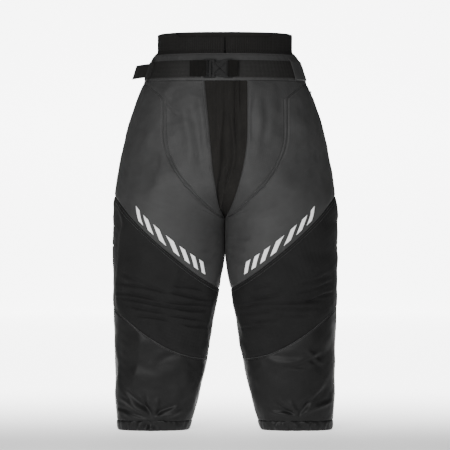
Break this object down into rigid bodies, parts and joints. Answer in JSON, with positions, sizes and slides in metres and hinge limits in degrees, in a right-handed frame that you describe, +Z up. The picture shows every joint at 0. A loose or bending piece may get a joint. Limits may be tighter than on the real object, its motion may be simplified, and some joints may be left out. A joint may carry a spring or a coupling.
{
  "type": "hockey pants",
  "caption": "Full-length padded goalkeeper trousers with a webbing belt, side-release buckle, elastic kidney band and separate thigh, knee and shin panels.",
  "frame": {"origin": "centre of the waist opening, level with the middle of the belt", "axes": "+Z up along the body, +X towards the wearer's left, front faces -Y"},
  "size_m": [0.608, 0.2696, 1.0646],
  "materials": {
    "shell_satin": "satin woven nylon, charcoal",
    "knee_cloth": "matte textured abrasion-resistant weave, near black",
    "stretch_cloth": "matte stretch knit, brown-black",
    "lining_mesh": "soft knitted lining",
    "foam": "closed-cell foam under the shell",
    "webbing": "ribbed polypropylene webbing",
    "ribbed_elastic": "ribbed woven elastic",
    "hook_tape": "hook and loop tape",
    "buckle_plastic": "moulded acetal, satin",
    "snap_metal": "small pressed snap"
  },
  "bodies": {
    "seat": {"waistband": "shell_satin", "waist_elastic": "ribbed_elastic", "inner_band": "lining_mesh", "fly_gusset": "stretch_cloth", "front_panel_right": "shell_satin", "front_panel_left": "shell_satin", "seat_panel_right": "shell_satin", "seat_panel_left": "shell_satin", "seat_gusset_right": "stretch_cloth", "seat_gusset_left": "stretch_cloth", "seat_lining": "lining_mesh", "hip_pad_right": "foam", "hip_pad_left": "foam", "tail_pad": "foam", "belt_webbing": "webbing", "belt_fold_fixed": "webbing", "belt_tail": "webbing", "buckle_female": "buckle_plastic", "belt_loop_right": "webbing", "belt_tunnel_left": "webbing", "belt_loop_back_right": "webbing", "belt_loop_back_left": "webbing", "kidney_band_back": "ribbed_elastic", "loop_patch": "hook_tape", "hip_snap": "snap_metal"},
    "buckle_half": {"buckle_male": "buckle_plastic", "belt_fold_sliding": "webbing"},
    "upper_prong": {"prong_upper": "buckle_plastic"},
    "lower_prong": {"prong_lower": "buckle_plastic"},
    "wing_right": {"kidney_wing_right": "ribbed_elastic", "hook_patch_right": "hook_tape"},
    "thigh_right": {"thigh_front_panel_right": "shell_satin", "thigh_back_panel_right": "shell_satin", "knee_panel_right": "knee_cloth", "knee_back_panel_right": "stretch_cloth", "thigh_lining_right": "lining_mesh", "thigh_pad_right": "foam", "knee_pad_right": "foam"},
    "shin_right": {"shin_panel_right": "shell_satin", "calf_panel_right": "shell_satin", "shin_lining_right": "lining_mesh", "shin_pad_right": "foam", "hem_band_right": "shell_satin", "hem_elastic_right": "ribbed_elastic"},
    "wing_left": {"kidney_wing_left": "ribbed_elastic", "hook_patch_left": "hook_tape"},
    "thigh_left": {"thigh_front_panel_left": "shell_satin", "thigh_back_panel_left": "shell_satin", "knee_panel_left": "knee_cloth", "knee_back_panel_left": "stretch_cloth", "thigh_lining_left": "lining_mesh", "thigh_pad_left": "foam", "knee_pad_left": "foam"},
    "shin_left": {"shin_panel_left": "shell_satin", "calf_panel_left": "shell_satin", "shin_lining_left": "lining_mesh", "shin_pad_left": "foam", "hem_band_left": "shell_satin", "hem_elastic_left": "ribbed_elastic"}
  },
  "joints": [
    {"name": "hip_right", "type": "hinge", "parent": "seat", "child": "thigh_right", "pos_m": [-0.15, -0.04, -0.305], "axis": [-1, 0, 0], "range_deg": [-10, 90], "deforming": ["front_panel_right", "thigh_front_panel_right", "thigh_back_panel_right", "seat_gusset_right", "fly_gusset"]},
    {"name": "hip_left", "type": "hinge", "parent": "seat", "child": "thigh_left", "pos_m": [0.15, -0.04, -0.305], "axis": [-1, 0, 0], "range_deg": [-10, 90], "deforming": ["front_panel_left", "thigh_front_panel_left", "thigh_back_panel_left", "seat_gusset_left"]},
    {"name": "knee_right", "type": "hinge", "parent": "thigh_right", "child": "shin_right", "pos_m": [-0.161, 0.03, -0.615], "axis": [1, 0, 0], "range_deg": [0, 90], "deforming": ["knee_panel_right", "knee_back_panel_right", "shin_panel_right", "calf_panel_right"]},
    {"name": "knee_left", "type": "hinge", "parent": "thigh_left", "child": "shin_left", "pos_m": [0.161, 0.03, -0.615], "axis": [1, 0, 0], "range_deg": [0, 90], "deforming": ["knee_panel_left", "knee_back_panel_left", "shin_panel_left", "calf_panel_left"]},
    {"name": "buckle_release", "type": "slide", "parent": "seat", "child": "buckle_half", "axis": [-1, 0, 0], "range_m": [0, 0.045]},
    {"name": "prong_upper_squeeze", "type": "hinge", "parent": "buckle_half", "child": "upper_prong", "pos_m": [-0.036, -0.1217, 0.0155], "axis": [0, 1, 0], "range_deg": [0, 8], "stiffness_Nm_per_rad": 0.05},
    {"name": "prong_lower_squeeze", "type": "hinge", "parent": "buckle_half", "child": "lower_prong", "pos_m": [-0.036, -0.1217, -0.0155], "axis": [0, -1, 0], "range_deg": [0, 8], "stiffness_Nm_per_rad": 0.05},
    {"name": "kidney_wing_right", "type": "hinge", "parent": "seat", "child": "wing_right", "pos_m": [-0.183, 0, 0.07], "axis": [0, 0, -1], "range_deg": [0, 45]},
    {"name": "kidney_wing_left", "type": "hinge", "parent": "seat", "child": "wing_left", "pos_m": [0.183, 0, 0.07], "axis": [0, 0, 1], "range_deg": [0, 45]}
  ]
}
